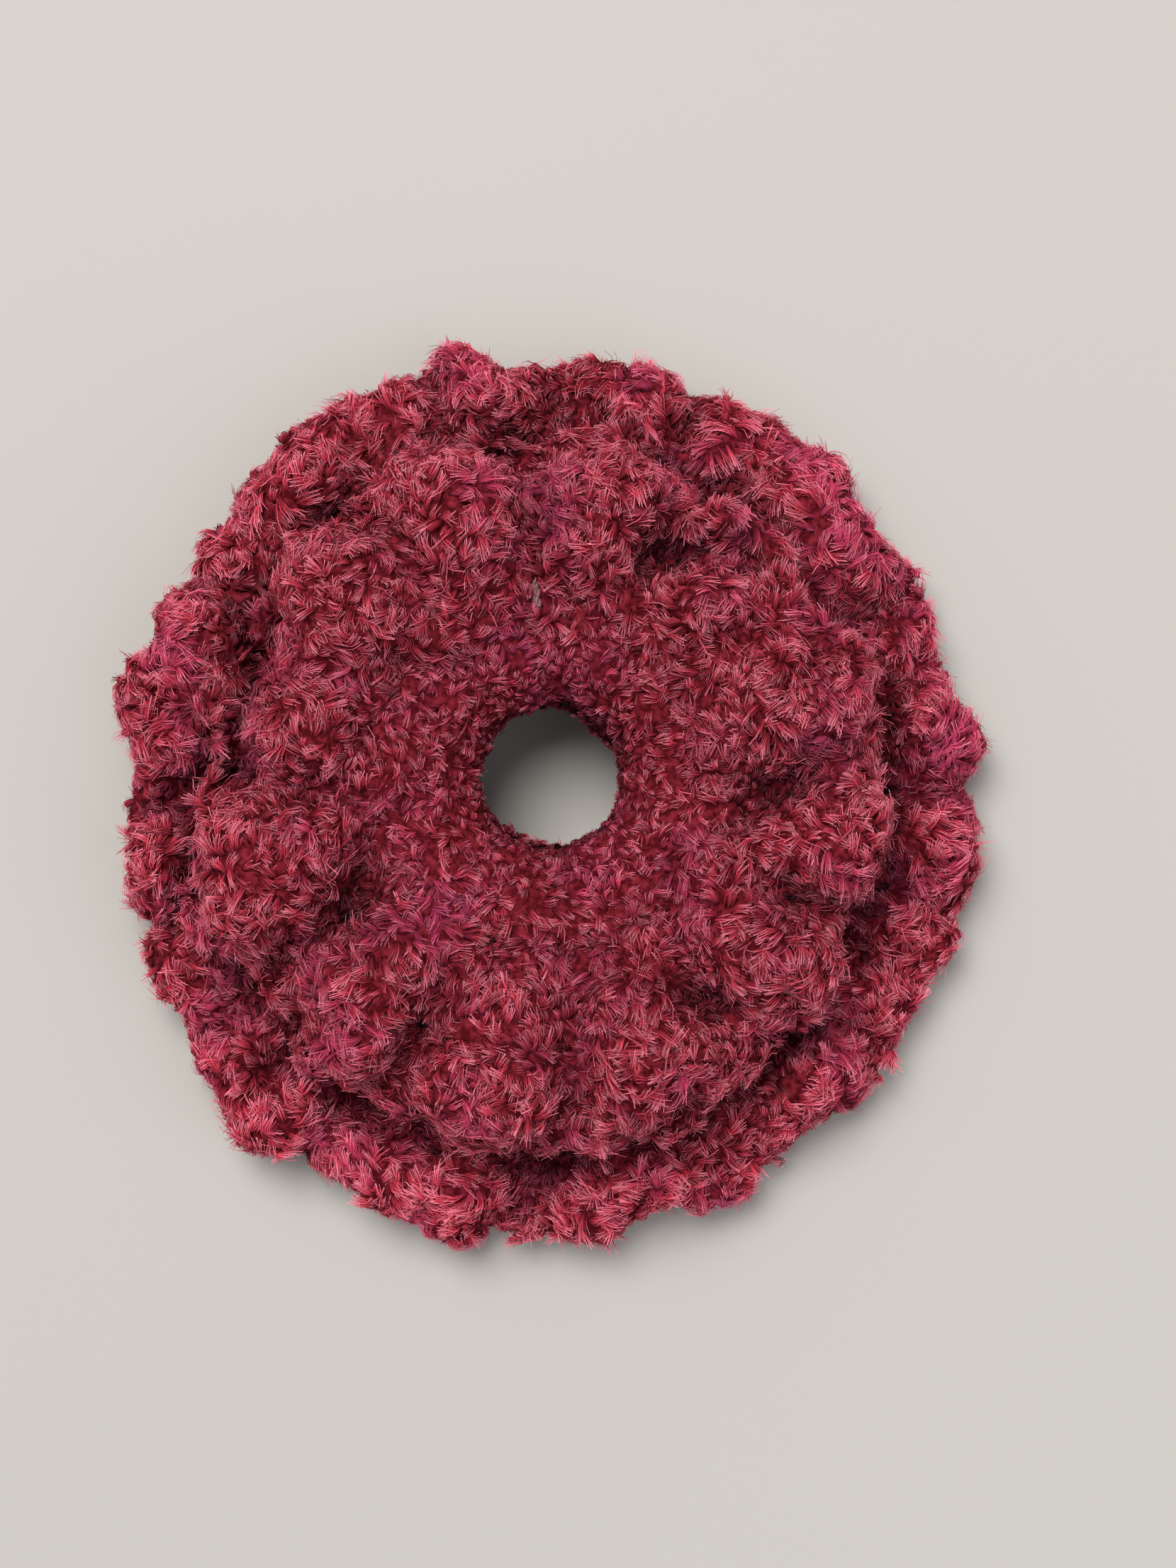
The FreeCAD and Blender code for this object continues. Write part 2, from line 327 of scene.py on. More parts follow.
def press_creases(obj, creases, depth):
    """Press a dip into the top of a skin at the bearing and distance of each crease."""
    points = vertices_of(obj)
    middle = (points[:, 2].min() + points[:, 2].max()) / 2
    top_share = np.clip((points[:, 2] - middle) / (points[:, 2].max() - middle), 0, 1) ** 0.5
    for bearing, distance, slant in creases:
        offset = points - direction(math.radians(bearing)) * distance * MM
        along = offset @ direction(math.radians(bearing + slant))
        aside = offset @ direction(math.radians(bearing + slant + 90))
        dip = np.exp(-((along / CREASE_LENGTH) ** 2) - (aside / CREASE_WIDTH) ** 2)
        dip *= min(1, distance * MM / DEEP_CREASES)
        points[:, 2] -= depth * rng.uniform(0.7, 1.2) * dip * top_share
    obj.data.vertices.foreach_set("co", points.astype(np.float32).ravel())


def puff_up(obj):
    """Swell a skin with a short cloth simulation, as its stuffing of yarn does."""
    before = vertices_of(obj)
    cloth = obj.modifiers.new("cloth", "CLOTH")
    cloth.settings.use_pressure = True
    cloth.settings.uniform_pressure_force = PRESSURE
    cloth.settings.effector_weights.gravity = 0
    cloth.collision_settings.use_collision = False
    cloth.point_cache.frame_end = SWELL_FRAMES
    for number in range(1, SWELL_FRAMES + 1):
        bpy.context.scene.frame_set(number)
    apply_modifiers(obj)
    move = vertices_of(obj) - before
    length = np.linalg.norm(move, axis=1, keepdims=True)
    move *= np.minimum(1, SWELL_CAP / np.maximum(length, 1e-9))
    obj.data.vertices.foreach_set("co", (before + move).astype(np.float32).ravel())
    bpy.context.scene.frame_set(1)


def grow_skin(name, stitches, fill, creases, crease_depth):
    """One closed skin round all the stitches of a tier."""
    centres, radii = stitches
    ball_vertices, ball_faces = BALL
    lumps = centres[:, None, :] + radii[:, None, None] * ball_vertices[None]
    faces = ball_faces[None] + (np.arange(len(centres)) * len(ball_vertices))[:, None, None]
    vertices = np.vstack([lumps.reshape(-1, 3), fill[0]])
    triangles = np.vstack([faces.reshape(-1, 3), fill[1] + lumps.shape[0] * lumps.shape[1]])
    obj = new_object(name, vertices, triangles)
    remesh = obj.modifiers.new("fuse", "REMESH")
    remesh.mode = "VOXEL"
    remesh.voxel_size = SKIN_VOXEL
    apply_modifiers(obj)
    puff_up(obj)
    press_creases(obj, creases, crease_depth)
    soften = obj.modifiers.new("soften", "SMOOTH")
    soften.factor = 0.5
    soften.iterations = 1
    apply_modifiers(obj)
    return obj


# ---------------------------------------------------------------- the pile

TUFT_SPACING = 1.46 * MM
LAY_CELL = 4.5 * MM  # the distance over which the pile's lay changes
LAY_WAVES = 14
HAIR_RINGS = np.array([0.0, 0.5, 1.0])  # the places along a hair where it can bend
STRAY_RINGS = np.array([0.0, 0.33, 0.67, 1.0])
BODY_RINGS = np.array([0.0, 0.4, 0.8])
BODY_SIDES = 4
BODY_SHARE = 0.25  # a tuft's soft middle has the colours of this first part of a hair, dark with the painted shade of the roots
HAIRS = 15  # in each tuft
HAIR_FAN = 0.07
STRAYS = 4
STRAY_LENGTH = 0.94
STRAY_FAN = 0.20
HAIR_HALF_WIDTH = 0.082 * MM
SHORT_PILE = 9.0 * MM  # the pile is worn short this near the opening
FINE_PILE = 30.0 * MM  # and its tufts are finer out to here
RIM_LIGHT_TINT = 0.33  # painted light: how much paler the pile is painted for each such step outwards, and darker, as painted shade, nearer the opening
LIT_RIM_STEPS = 4.4  # and past this many steps it's painted paler still, as painted light at the rim
CREASE_SIZE = 10.0 * MM  # how far round a root it's judged how closed in that root is
OPEN_SKY = 0.04  # a root that feels this little of its neighbours is in the open
CLOSED_IN = 0.40  # and one that feels this much is deep in a crease
SHADE_TINT = 3.7  # painted shade: how much darker the pile is painted deep in a crease, in steps of tint
TINT_SPREAD = 0.9  # how much tint varies from tuft to tuft
HAIR_TINT_SPREAD = 0.25  # and within a tuft, from hair to hair
RELIEF_CELL = 1.5 * MM  # the grid on which the tops of the folds are compared
RELIEF_CELLS = 120
RELIEF_STEPS = 12  # cells compared to each side of a root
RELIEF_REACH = 7.0 * MM  # how far round a root its surroundings are judged
RELIEF_DEPTH = 6.0 * MM  # this far below them is fully sunk
PROUD_SHINE = 0.12  # painted highlight: how much of such a depth a tuft that stands proud is painted brighter by
FLATNESS = 0.75  # a tuft's thickness over its width
PILE_LIFT = 0.95  # how steeply tufts stand: their rise over their run
LIFT_SPREAD = 0.35
LAY_SPREAD = 0.75  # how much tufts stray from the lay round them
PILE_CURL = 1.75  # how far a tuft turns from root to tip, in radians
CURL_SPREAD = 0.45
SIZE_RANGE = (0.65, 1.35)  # of a tuft's length and width


def body_faces():
    """The triangles of a tuft's soft middle: a closed tube that ends in a point."""
    sides = BODY_SIDES
    faces = [(0, side + 1, side) for side in range(1, sides - 1)]
    for ring in range(len(BODY_RINGS) - 1):
        for side in range(sides):
            a = ring * sides + side
            b = ring * sides + (side + 1) % sides
            faces += [(a, b, b + sides), (a, b + sides, a + sides)]
    last = (len(BODY_RINGS) - 1) * sides
    tip = last + sides
    faces += [(last + side, last + (side + 1) % sides, tip) for side in range(sides)]
    return np.array(faces)


def blade_faces(rings):
    """The triangles of a hair: a flat blade."""
    faces = []
    for a in range(0, 2 * (rings - 1), 2):
        faces += [(a, a + 2, a + 3), (a, a + 3, a + 1)]
    return np.array(faces)


def scatter(vertices, triangles, spacing):
    """Roots spread evenly over a skin, one at most in each cell of a grid."""
    a, b, c = (vertices[triangles[:, i]] for i in range(3))
    area = np.linalg.norm(np.cross(b - a, c - a), axis=1) / 2
    count = int(area.sum() / spacing**2 * 4)
    chosen = rng.choice(len(triangles), count, p=area / area.sum())
    u, v = rng.uniform(size=(2, count, 1))
    over = u + v > 1
    u, v = np.where(over, 1 - u, u), np.where(over, 1 - v, v)
    points = a[chosen] + u * (b - a)[chosen] + v * (c - a)[chosen]
    normals = normals_of(vertices, triangles)
    corner = [normals[triangles[chosen, i]] for i in range(3)]
    normal = unit(corner[0] * (1 - u - v) + corner[1] * u + corner[2] * v)
    cells = np.floor(points / spacing).astype(np.int64)
    _, first = np.unique(cells, axis=0, return_index=True)
    first = np.sort(first)
    return points[first], normal[first]


def smooth_noise(points, cell):
    """A smooth vector field, from a sum of random waves."""
    field = np.zeros_like(points)
    for _ in range(LAY_WAVES):
        wave = unit(rng.normal(size=3)) * rng.uniform(0.6, 1.5) * math.tau / (2 * cell)
        field += np.sin(points @ wave + rng.uniform(0, math.tau))[:, None] * rng.normal(size=3)
    return field / math.sqrt(LAY_WAVES)


def closeness(points, normals):
    """How closed in each root is, from 0 in the open to 1 deep in a crease."""
    tree = KDTree(len(points))
    for index, point in enumerate(points):
        tree.insert(point, index)
    tree.balance()
    shade = np.zeros(len(points))
    for index, point in enumerate(points):
        near = [found[1] for found in tree.find_range(point, CREASE_SIZE)]
        towards = points[near] - point
        rise = unit(towards) @ normals[index]
        shade[index] = np.clip(rise, 0, 1).mean()
    return np.clip((shade - OPEN_SKY) / (CLOSED_IN - OPEN_SKY), 0, 1)


def sunk(points, normals):
    """How far each root on top lies below the folds round it, from 0 to 1, or stands proud."""
    cells = tuple(np.floor(points[:, :2] / RELIEF_CELL).astype(int).T + RELIEF_CELLS // 2)
    top = np.full((RELIEF_CELLS, RELIEF_CELLS), -np.inf)
    np.maximum.at(top, cells, points[:, 2])
    filled = np.isfinite(top)
    steps = np.arange(-RELIEF_STEPS, RELIEF_STEPS + 1) * RELIEF_CELL
    kernel = np.exp(-((steps / RELIEF_REACH) ** 2))
    blurred = []
    for layer in (np.where(filled, top, 0.0), filled.astype(float)):
        for axis in (0, 1):
            layer = np.apply_along_axis(np.convolve, axis, layer, kernel, "same")
        blurred.append(layer[cells])
    depth = blurred[0] / blurred[1] - points[:, 2]
    on_top = (points[:, 2] > top[cells] - PILE_DEPTH) & (normals[:, 2] > 0)
    return np.where(on_top, np.clip(depth / RELIEF_DEPTH, -PROUD_SHINE, 1), 0)


class Tufts:
    """Where each tuft of pile grows, which way it heads and how it curls."""

    def __init__(self, tier, shade):
        points, normals = tier.roots, tier.normals
        count = len(points)
        shade = shade[:, None, None]
        lay = smooth_noise(points, LAY_CELL) + rng.normal(size=(count, 3)) * LAY_SPREAD
        lay = unit(lay - normals * np.sum(lay * normals, axis=1, keepdims=True))
        rise = np.clip(rng.normal(PILE_LIFT, LIFT_SPREAD, (count, 1)), 0.15, 2.5)
        self.points = points
        self.heading = unit(lay + normals * rise)
        swerve = np.cross(self.heading, normals) * rng.normal(0, 0.9, (count, 1))
        pull = lay * 0.8 - normals * 0.5 + swerve
        self.bend = unit(pull - self.heading * np.sum(pull * self.heading, axis=1, keepdims=True))
        self.side = np.cross(self.heading, self.bend)
        self.turn = np.clip(rng.normal(PILE_CURL, CURL_SPREAD, (count, 1, 1)), 0.1, 2.2)
        clear = (np.hypot(points[:, 0], points[:, 1])[:, None, None] - HOLE_RADIUS) / SHORT_PILE
        self.reach = tier.pile_length * rng.uniform(*SIZE_RANGE, (count, 1, 1))
        fine = 0.8 + 0.2 * np.clip(clear * SHORT_PILE / FINE_PILE, 0, 1)
        self.reach = self.reach * (0.7 + 0.3 * np.clip(clear, 0, 1)) * (1 - 0.35 * shade) * fine
        self.half = tier.tuft_width * rng.uniform(*SIZE_RANGE, (count, 1, 1)) * fine
        # Besides its random tone, the tint carries painted shade in creases and a painted
        # highlight on proud tufts.
        self.tint = rng.normal(0, TINT_SPREAD, (count, 1, 1)) - SHADE_TINT * shade
        # Painted light and shade: the pile is painted darker near the opening and paler towards
        # the rim, palest at the rim itself.
        self.tint = self.tint + RIM_LIGHT_TINT * (clear - 1) + np.clip(clear - LIT_RIM_STEPS, 0, 1.8)

    def sweep(self, steps, reach, across, deep, turn):
        """Points along curled lines that stand off a tuft's middle by across and deep."""
        arc = turn * steps
        forward = (reach * np.sin(arc) / turn)[..., None]
        sideways = (reach * (1 - np.cos(arc)) / turn)[..., None]
        heading, bend, side = (v[:, None, None, :] for v in (self.heading, self.bend, self.side))
        up = np.cos(arc)[..., None] * bend - np.sin(arc)[..., None] * heading
        middle = self.points[:, None, None, :] + forward * heading + sideways * bend
        return middle + across[..., None] * side + deep[..., None] * up, up, side

    def bodies(self):
        """The soft middle of each tuft: its vertices, shares along it and tints."""
        steps = np.append(BODY_RINGS, 1.0)[None, None, :]
        level = np.zeros((len(self.points), 1, steps.size))
        spine, up, side = self.sweep(steps, self.reach * 0.7, level, level, self.turn)
        radius = (self.half * (0.36 + 0.55 * steps - 0.45 * steps**2))[:, :, :-1, None]
        corners = []
        for corner in range(BODY_SIDES):
            angle = math.tau * corner / BODY_SIDES
            offset = math.cos(angle) * FLATNESS * up[:, :, :-1] + math.sin(angle) * side
            corners.append(spine[:, :, :-1] + radius * offset)
        body = np.stack(corners, axis=3).reshape(len(self.points), 1, -1, 3)
        vertices = np.concatenate([body, spine[:, :, -1:]], axis=2)
        share = np.append(np.repeat(BODY_RINGS, BODY_SIDES), 1.0) * BODY_SHARE
        share = np.broadcast_to(share, vertices.shape[:3])
        return vertices, share, np.broadcast_to(self.tint, share.shape)

    def hairs(self, count, rings, stretch, fan):
        """Fine hairs that flare out round each tuft, as blades that face outwards."""
        shape = (len(self.points), count, 1)
        steps = rings[None, None, :]
        place = np.sqrt(rng.uniform(0.12, 1.15, shape))
        angle = rng.uniform(0, math.tau, shape) + rng.normal(0, 0.6, (shape[0], 1, 1)) * steps
        spread = place * self.half * (0.42 + 0.95 * steps - 0.55 * steps**2)
        reach = self.reach * stretch * (1.06 - 0.18 * place**2) * rng.uniform(0.84, 1.08, shape)
        stray = rng.normal(0, fan, (2, *shape)) * reach * steps**1.5
        across = spread * np.cos(angle) + stray[0]
        deep = spread * np.sin(angle) * FLATNESS + stray[1]
        turn = np.maximum(self.turn + rng.normal(0, 0.3, shape), 0.05)
        spine, up, side = self.sweep(steps, reach, across, deep, turn)
        roll = (angle + math.pi / 2 + rng.normal(0, 0.5, shape))[..., None]
        half = HAIR_HALF_WIDTH * rng.uniform(0.7, 1.3, shape) * (1 - 0.55 * steps)
        blade = (np.cos(roll) * side + np.sin(roll) * up) * half[..., None]
        vertices = np.stack([spine - blade, spine + blade], axis=3)
        vertices = vertices.reshape(*shape[:2], -1, 3)
        share = np.broadcast_to(np.repeat(rings, 2), vertices.shape[:3])
        tint = self.tint + rng.normal(0, HAIR_TINT_SPREAD, shape)
        return vertices, share, np.broadcast_to(tint, share.shape)

    def grow(self):
        """All the strands, as groups of vertices, shares, tints and a face pattern."""
        body = (*self.bodies(), body_faces())
        hairs = self.hairs(HAIRS, HAIR_RINGS, 1.0, HAIR_FAN)
        strays = self.hairs(STRAYS, STRAY_RINGS, STRAY_LENGTH, STRAY_FAN)
        return [
            body,
            (*hairs, blade_faces(len(HAIR_RINGS))),
            (*strays, blade_faces(len(STRAY_RINGS))),
        ]


# ---------------------------------------------------------------- tiers and pieces


# Each tier's length of pile and half the width of its tufts.
TUFT_SIZES = {
    "collar": (2.8 * MM, 0.85 * MM),
    "lower_ruffle": (3.5 * MM, 1.05 * MM),
    "upper_ruffle": (3.2 * MM, 1.0 * MM),
}
HIDDEN_DEPTH = 2.6 * MM  # roots buried deeper than this in another tier grow nothing
UNDERSIDE = 2.5 * MM  # the underside's pile starts this near the table
UNDERSIDE_SHARE = 0.45  # the share of the tufts that is left there
TABLE_GAP = 0.05 * MM  # the pile is kept this far off the table
TONGUE = 0.56 * STRETCH  # how far the fabric reaches into its neighbour at the open gap
TONGUE_INSET = 2.6 * MM  # how far inside its neighbour's skin it lies
TONGUE_CLEARANCE = 0.5 * MM


class Tier:
    """One layer of the scrunchie: its skin, its stitches and its pile."""

    def __init__(self, name, nodes, stitches, creases=(), crease_depth=0.0):
        self.name = name
        self.nodes = fold_nodes(nodes)
        self.centres, self.radii = stitches
        self.pile_length, self.tuft_width = TUFT_SIZES[name]
        fill = filler(self.nodes)
        self.skin = grow_skin(name + "_skin", stitches, fill, creases, crease_depth)

    def depth(self, points):
        """How far points are under this tier's stitches."""
        deepest = np.full(len(points), -1.0)
        for centre, radius in zip(self.centres, self.radii):
            deepest = np.maximum(deepest, radius - np.linalg.norm(points - centre, axis=1))
        return deepest


def fold_nodes(tier):
    """The CAD nodes of one tier."""
    return sorted(node for node in frame["nodes"] if node.startswith(tier))


def gather(tier, shape):
    """The stitches of every fold of a tier, whose shape is given in mm."""
    shape = {key: value * MM for key, value in shape.items()}
    nodes = fold_nodes(tier)
    beside = [(nodes[i - 1], nodes[(i + 1) % len(nodes)]) for i in range(len(nodes))]
    parts = [fold_stitches(node, pair, **shape) for node, pair in zip(nodes, beside)]
    return np.vstack([p[0] for p in parts]), np.concatenate([p[1] for p in parts])


def build_tiers():
    """The collar and the ruffle's two tiers."""
    collar = Tier("collar", "base_stitches", collar_stitches())
    stitches = gather("lower_fold", LOWER_SHAPE)
    step = 360 / RIM_CREASES
    rim = [
        (step * (i + rng.uniform(0, 0.7)), rng.uniform(*RIM_CREASE_REACH), 0)
        for i in range(RIM_CREASES)
    ]
    creases = [*CREASES, *rim]
    lower = Tier("lower_ruffle", "lower_fold", stitches, creases, LOWER_CREASE_DEPTH)
    stitches = gather("upper_fold", UPPER_SHAPE)
    upper = Tier("upper_ruffle", "upper_fold", stitches, CREASES, UPPER_CREASE_DEPTH)
    return [collar, lower, upper]


def plant(tier, others):
    """The roots of a tier's tufts and the skin's normals there."""
    vertices = vertices_of(tier.skin)
    roots, normals = scatter(vertices, triangles_of(tier.skin), TUFT_SPACING)
    seen = np.ones(len(roots), bool)
    for other in others:
        seen &= other.depth(roots) < HIDDEN_DEPTH
    under = (roots[:, 2] < TABLE + PILE_DEPTH + UNDERSIDE) & (normals[:, 2] < -0.6)
    seen &= ~under | (rng.uniform(size=len(roots)) < UNDERSIDE_SHARE)
    tier.roots, tier.normals = roots[seen], normals[seen]


def grow_pile(tiers):
    """Plant every tier, find how closed in each tuft is and grow the pile."""
    for tier in tiers:
        plant(tier, [other for other in tiers if other is not tier])
    roots = np.vstack([tier.roots for tier in tiers])
    normals = np.vstack([tier.normals for tier in tiers])
    # Painted shade: tufts deep in creases and below the folds' tops are painted darker, and tufts
    # that stand proud get a painted highlight; the same measure shortens tufts in creases.
    shade = np.clip(closeness(roots, normals) + sunk(roots, normals), -PROUD_SHINE, 1)
    for tier in tiers:
        own, shade = shade[: len(tier.roots)], shade[len(tier.roots) :]
        tier.pile = Tufts(tier, own).grow()


def gap_of(points):
    """The gap each point lies nearest: gap i is between sector i and sector i + 1."""
    bearing = np.arctan2(points[:, 1], points[:, 0])
    return (np.floor((bearing - BEARINGS[0]) / SECTOR_ARC) % len(BODIES)).astype(int)


def pick(pile, chosen):
    """The chosen tufts of a pile."""
    return [(*(values[chosen] for values in group[:3]), group[3]) for group in pile]


def make_piece(name, skin, pile, materials):
    """One mesh from a stretch of skin and the pile that grows on it."""
    skin_vertices, skin_faces = skin
    used = np.unique(skin_faces)
    renumber = np.full(len(skin_vertices), -1)
    renumber[used] = np.arange(len(used))
    vertices = [skin_vertices[used]]
    faces = [renumber[skin_faces]]
    shares = [np.zeros(len(used))]
    tints = [np.zeros(len(used))]
    count = len(used)
    for points, share, tint, pattern in pile:
        lines = points.shape[0] * points.shape[1]
        starts = count + np.arange(lines) * points.shape[2]
        faces.append((pattern[None] + starts[:, None, None]).reshape(-1, 3))
        vertices.append(points.reshape(-1, 3))
        shares.append(share.ravel())
        tints.append(tint.ravel())
        count += lines * points.shape[2]
    vertices = np.vstack(vertices)
    vertices[:, 2] = np.maximum(vertices[:, 2], TABLE + TABLE_GAP)
    faces = np.vstack(faces)
    obj = new_object(name, vertices, faces)
    add_value(obj, "along", np.concatenate(shares))
    add_value(obj, "tint", np.concatenate(tints))
    for material in materials:
        obj.data.materials.append(material)
    slots = np.ones(len(faces), np.int32)
    slots[: len(skin_faces)] = 0
    obj.data.polygons.foreach_set("material_index", slots)
    return obj


def split_tier(tier, materials):
    """Cut a tier into one piece for each gap."""
    vertices = vertices_of(tier.skin)
    triangles = triangles_of(tier.skin)
    face_gap = gap_of(vertices[triangles].mean(1))
    root_gap = gap_of(tier.roots)
    pieces = []
    for gap, first in enumerate(BODIES):
        second = BODIES[(gap + 1) % len(BODIES)]
        if frozenset((first, second)) not in JOINED:
            pieces += open_gap_pieces(tier, gap, (vertices, triangles), materials)
            continue
        skin_part = (vertices, triangles[face_gap == gap])
        name = f"{tier.name}_{gap + 1:02d}"
        piece = make_piece(name, skin_part, pick(tier.pile, root_gap == gap), materials)
        pieces.append(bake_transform(piece))
    bpy.data.objects.remove(tier.skin)
    for piece in pieces:
        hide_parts(*tier.nodes)


def in_tongue(points, gap, sign):
    """Whether points belong to one side's tongue, which keeps out of the stretched opening."""
    middle = BEARINGS[gap] + SECTOR_ARC / 2
    past = -sign * (points @ np.cross([0, 0, 1], direction(middle)))
    shift = STRETCH / (2 * math.sin(SECTOR_ARC / 2))
    stretched = points + shift * direction(middle + sign * SECTOR_ARC / 2)
    distance = np.hypot(stretched[:, 0], stretched[:, 1])
    clear = distance > HOLE_RADIUS + shift - TONGUE_CLEARANCE
    return clear & (points @ direction(middle) > 0) & (past > 0) & (past < TONGUE)


def open_gap_pieces(tier, gap, skin, materials):
    """The pieces at the gap that no joint crosses: a half and a hidden tongue on each side."""
    vertices, triangles = skin
    roots, pile = tier.roots, tier.pile
    across = np.cross([0, 0, 1], direction(BEARINGS[gap] + SECTOR_ARC / 2))
    centres = vertices[triangles].mean(1)
    face_gap, root_gap = gap_of(centres), gap_of(roots)
    inward = normals_of(vertices, triangles) * TONGUE_INSET
    pieces = []
    sides = ((BODIES[gap], "a", -1), (BODIES[(gap + 1) % len(BODIES)], "b", 1))
    for body, label, sign in sides:
        name = f"{tier.name}_{gap + 1:02d}{label}"
        faces = triangles[(face_gap == gap) & (centres @ across * sign >= 0)]
        chosen = (root_gap == gap) & (roots @ across * sign >= 0)
        half = make_piece(name, (vertices, faces), pick(pile, chosen), materials)
        faces = triangles[in_tongue(centres, gap, sign)]
        chosen = in_tongue(roots, gap, sign)
        sink = (tier.normals[chosen] * TONGUE_INSET)[:, None, None, :]
        sunk = [(group[0] - sink, *group[1:]) for group in pick(pile, chosen)]
        tongue = make_piece(name + "_tongue", (vertices - inward, faces), sunk, materials)
        pieces += [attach(half, body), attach(tongue, body)]
    return pieces


# ---------------------------------------------------------------- the elastic and the tails

STRANDS = 5  # rubber strands in the elastic's core
STRAND_TURNS = 9
BRAID_ENDS = 8
BRAID_TURNS = 78
BRAID_RELIEF = 0.07
CRIMP_ENDS = 0.12  # how much the splice narrows at its ends
CRIMP_RIDGES = 0.03
OVERLAP = math.radians(27)  # how far the elastic reaches past the middle of the open gap
PLIES = 3
TAIL_TURNS = 1.3
TAIL_FRAY = 1.5  # how much further apart the plies are at the loose end
SHOWN_TAIL = 0.8  # the share of each tail that isn't hidden in the pile


def tube_mesh(rings):
    """Vertices and triangles of a capped tube from its rings of points."""
    count, sides = rings.shape[:2]
    faces = []
    for ring in range(count - 1):
        for side in range(sides):
            a = ring * sides + side
            b = ring * sides + (side + 1) % sides
            faces += [(a, a + sides, b + sides), (a, b + sides, b)]
    last = (count - 1) * sides
    for side in range(1, sides - 1):
        faces += [(0, side, side + 1), (last, last + side + 1, last + side)]
    return rings.reshape(-1, 3), np.array(faces)


def join_meshes(parts):
    """One pair of vertex and triangle arrays from several."""
    starts = np.cumsum([0] + [len(vertices) for vertices, _ in parts])
    faces = [triangles + start for (_, triangles), start in zip(parts, starts)]
    return np.vstack([vertices for vertices, _ in parts]), np.vstack(faces)


def along_ring(start, end, radius, sides, steps, shift=0.0, phase=0.0, relief=None):
    """A tube round part of the ring, which may wind about the ring's middle line."""
    bearing = np.linspace(start, end, steps)[:, None]
    around = (math.tau * np.arange(sides) / sides)[None]
    size = radius * (1 + (relief(bearing, around) if relief else 0))
    wind = phase + STRAND_TURNS * bearing
    out = RING_RADIUS + shift * np.cos(wind) + size * np.cos(around)
    up = shift * np.sin(wind) + size * np.sin(around)
    return tube_mesh(np.stack([out * np.cos(bearing), out * np.sin(bearing), up], axis=2))


def core_arc(start, end):
    """The twisted rubber strands between two bearings."""
    radius = CORE_RADIUS / (1 + 1 / math.sin(math.pi / STRANDS))
    strands = [
        along_ring(start, end, radius, 8, 16, CORE_RADIUS - radius, math.tau * strand / STRANDS)
        for strand in range(STRANDS)
    ]
    return join_meshes(strands)


def sleeve_arc(start, end):
    """The braided cover between two bearings."""

    def braid(bearing, around):
        left = np.sin(BRAID_ENDS * around + BRAID_TURNS * bearing)
        right = np.sin(BRAID_ENDS * around - BRAID_TURNS * bearing)
        return BRAID_RELIEF * (left * right - 1)

    return along_ring(start, end, SLEEVE_RADIUS, 48, 52, relief=braid)


def collar_arc(start, end):
    """The crimped splice between two bearings, rounded at its ends."""

    def crimp(bearing, around):
        place = (2 * bearing - start - end) / (end - start)
        ridges = np.cos(6 * math.pi * place) ** 2
        return -CRIMP_ENDS * place**8 - CRIMP_RIDGES * ridges + 0 * around

    return along_ring(start, end, SPLICE_RADIUS, 32, 40, relief=crimp)


def build_elastic(node, arc, radius, slot, looks):
    """One layer of the elastic, as one arc for each gap and two at the open gap."""
    hold = RING_RADIUS - radius
    pieces = []
    for gap, first in enumerate(BODIES):
        second = BODIES[(gap + 1) % len(BODIES)]
        start, end = BEARINGS[gap], BEARINGS[gap] + SECTOR_ARC
        name = f"{node}_{gap + 1:02d}"
        if frozenset((first, second)) in JOINED:
            piece = new_object(name, *arc(start, end))
            low, high = (tuple(direction(bearing) * hold) for bearing in (start, end))
            pieces.append(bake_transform(piece))
            continue
        middle = (start + end) / 2
        for body, label, low, high in (
            (first, "a", start, middle + OVERLAP),
            (second, "b", middle, end),
        ):
            piece = new_object(name + label, *arc(low, high))
            pieces.append(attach(piece, body))
    finish_pieces(pieces, node, slot, looks)


def finish_pieces(pieces, node, slot, looks):
    """Give pieces the material of their slot, in place of a CAD node."""
    for piece in pieces:
        piece.data.materials.append(looks[slot])
        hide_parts(node)


def build_splice(looks):
    """The splice, which rides on one side of the open gap."""
    points = node_vertices("elastic_splice")
    middle = bearing_of(points)
    half = math.atan2(points[:, 0].max(), RING_RADIUS)
    piece = new_object("splice_collar", *collar_arc(middle - half, middle + half))
    gap = gap_of(direction(middle)[None])[0]
    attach(piece, BODIES[(gap + 1) % len(BODIES)])
    finish_pieces([piece], "elastic_splice", "splice_collar", looks)


